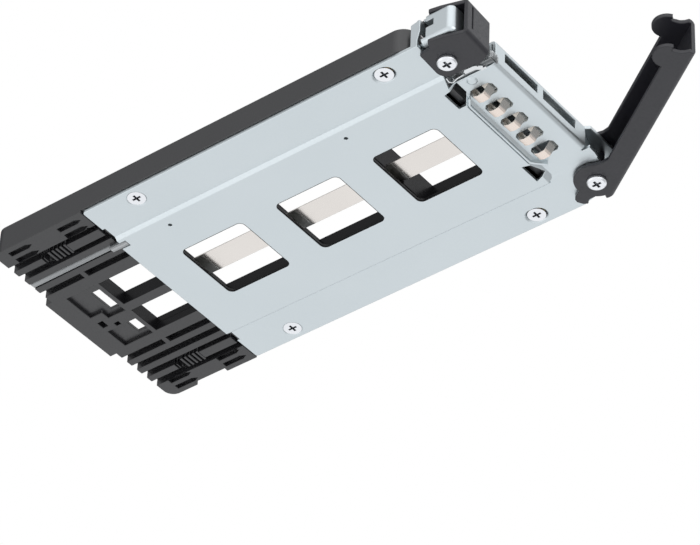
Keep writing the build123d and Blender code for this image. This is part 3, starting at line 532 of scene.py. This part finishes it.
def contact_backing():
    """Punched plate on the back of the finger strip, its holes seen through all slots but the last."""
    pitch, aside, half_hole = 6.2 * MM, 0.1 * MM, 1.1 * MM
    hole_front, hole_rear = -53.85 * MM, -52.05 * MM
    right_end, margin = 9.3 * MM, 0.2 * MM
    gap, thickness = 0.02 * MM, 0.2 * MM
    low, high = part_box("finger_strip")
    across = [low.x]
    for finger in range(-2, 2):
        middle = finger * pitch + aside
        across += [middle - half_hole, middle + half_hole]
    across.append(right_end)
    along = [low.y + margin, hole_front, hole_rear, high.y - margin]
    work = bmesh.new()
    for column, (left, right) in enumerate(zip(across, across[1:])):
        for row, (front, rear) in enumerate(zip(along, along[1:])):
            if row == 1 and column % 2 == 1:
                continue
            centre = Vector(((left + right) / 2, (front + rear) / 2, high.z + gap))
            cell = Matrix.Diagonal((right - left, rear - front, 1, 1))
            bmesh.ops.create_grid(
                work, x_segments=1, y_segments=1, size=0.5, matrix=Matrix.Translation(centre) @ cell)
    bmesh.ops.remove_doubles(work, verts=work.verts, dist=MERGE_REACH)
    piece = finished("punched_contact_backing", work, backing_steel)
    thickened(piece, "backing_sheet", thickness)
    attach(piece, frame["nodes"]["finger_strip"]["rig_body"])


def sprung_pieces():
    """Bright strips: contact fingers and their backing, latch spring and centre strip."""
    formed("finger_strip", "sprung_fingers", contact, STRIP_EDGE)
    contact_backing()
    formed("latch_spring", "sprung_leaf", bright_leaf, STRIP_EDGE)
    formed("centre_strip", "rolled_centre_strip", stainless, STRIP_EDGE)


def screw(node, edge, recess):
    """A plated screw whose cross recess, between two heights, gets a darker zinc: painted shade."""
    formed(
        node, f"plated_{node}", zinc, edge,
        within=in_recess(node, *recess), inner_look=painted_shade_zinc)


def fasteners():
    """Pivot screws, tray screws and the inserts that hold them."""
    pivot_recess = (-1.59 * MM, -0.8 * MM)
    tray_recess = (1.01 * MM, 1.85 * MM)
    for node in ("lever_pivot_screw", "latch_pivot_screw"):
        screw(node, PIVOT_SCREW_EDGE, pivot_recess)
    for corner in CORNERS:
        screw(f"tray_screw_{corner}", TRAY_SCREW_EDGE, tray_recess)
        formed(
            f"threaded_insert_{corner}", f"turned_insert_{corner}", brass, STRIP_EDGE)


sheet_pieces()
coated_pieces()
moulded_pieces()
sprung_pieces()
fasteners()


# Stage, light and camera

def one_sided(name, colour):
    """Floor colour seen from above only; from below, and for light, it isn't there."""
    made = bpy.data.materials.new(name)
    made.use_nodes = True
    tree = made.node_tree
    tree.nodes.clear()
    result = add(tree, "ShaderNodeOutputMaterial")
    plain = add(tree, "ShaderNodeBsdfDiffuse", Color=(*colour, 1.0))
    through = add(tree, "ShaderNodeBsdfTransparent")
    path = add(tree, "ShaderNodeLightPath")
    geometry = add(tree, "ShaderNodeNewGeometry")
    front = add(tree, "ShaderNodeMath", operation="SUBTRACT")
    front.inputs[0].default_value = 1.0
    join(tree, geometry.outputs["Backfacing"], front.inputs[1])
    seen = combined(tree, "MULTIPLY", path.outputs["Is Camera Ray"], front.outputs[0])
    chosen(tree, seen, through, plain, result)
    return made


def floor():
    """A wide pale floor at the object's lowest point."""
    reach, grey = 4.0, 0.86
    low = cad_box[0][2]
    work = bmesh.new()
    bmesh.ops.create_grid(work, x_segments=1, y_segments=1, size=reach)
    bmesh.ops.translate(work, verts=work.verts, vec=(0, 0, low))
    item = finished("floor", work, one_sided("pale_floor", (grey, grey, grey)))


def facing(tree, place, direction, start, end, low, high):
    """A level that goes from low to high as the view turns towards a direction."""
    turn = add(tree, "ShaderNodeVectorMath", operation="DOT_PRODUCT")
    turn.inputs[1].default_value = Vector(direction).normalized()
    join(tree, place.outputs["Generated"], turn.inputs[0])
    return fading(tree, turn.outputs["Value"], start, end, low, high)


def studio_world():
    """White behind the object and round it, dim towards the upper rear and at the lower front right."""
    bright_side, dim_patch = (-0.3, -0.75, -0.6), (0.59, -0.56, -0.58)
    cool_white, white = (0.975, 0.985, 1.0, 1.0), (1.0, 1.0, 1.0, 1.0)
    world = bpy.data.worlds.new("studio")
    bpy.context.scene.world = world
    world.use_nodes = True
    tree = world.node_tree
    tree.nodes.clear()
    result = add(tree, "ShaderNodeOutputWorld")
    place = add(tree, "ShaderNodeTexCoord")
    round_about = facing(tree, place, bright_side, start=-0.95, end=-0.3, low=0.15, high=1.0)
    patched = facing(tree, place, dim_patch, start=0.8, end=0.97, low=1.0, high=0.5)
    lit = add(tree, "ShaderNodeBackground", Color=cool_white)
    join(tree, combined(tree, "MULTIPLY", round_about, patched), lit.inputs["Strength"])
    plain = add(tree, "ShaderNodeBackground", Color=white, Strength=1.0)
    path = add(tree, "ShaderNodeLightPath")
    seen = combined(tree, "MAXIMUM", path.outputs["Is Camera Ray"], path.outputs["Is Transmission Ray"])
    chosen(tree, seen, lit, plain, result)


def softbox(name, place, target, size, power):
    """A square area lamp aimed at a point."""
    lamp = bpy.data.lights.new(name, "AREA")
    lamp.shape = "SQUARE"
    lamp.size = size
    lamp.energy = power
    item = bpy.data.objects.new(name, lamp)
    bpy.context.scene.collection.objects.link(item)
    item.location = place
    item.rotation_euler = (Vector(target) - Vector(place)).to_track_quat("-Z", "Y").to_euler()


def lamps():
    """A large soft light in front, one above and a faint one from below, at the left rear."""
    softbox("front_box", place=(-0.5, -2.15, 0.0), target=(0, -0.05, 0), size=1.8, power=12.5)
    softbox("high_box", place=(-0.45, -0.25, 1.1), target=(0, 0, 0), size=1.0, power=2.0)
    softbox("low_left_box", place=(-0.69, 0.59, -0.78), target=(0, 0, 0), size=0.6, power=0.5)


def camera():
    """The photograph's viewpoint: low, in front and to the left, through a long lens."""
    place = Vector((-0.53176, -0.44538, -0.60084))
    right = Vector((0.61213, -0.78983, 0.03815)).normalized()
    up = Vector((-0.52583, -0.37054, 0.76564)).normalized()
    focal_length, film_width, view_depth = 192.27, 36.0, 20.0
    item = bpy.data.objects.new("camera", bpy.data.cameras.new("camera"))
    bpy.context.scene.collection.objects.link(item)
    item.data.lens = focal_length
    item.data.sensor_width = film_width
    item.data.clip_end = view_depth
    turn = Matrix((right, up, right.cross(up))).transposed().to_4x4()
    item.matrix_world = Matrix.Translation(place) @ turn
    bpy.context.scene.camera = item


floor()
studio_world()
lamps()
camera()
bpy.context.scene.view_settings.view_transform = "Standard"
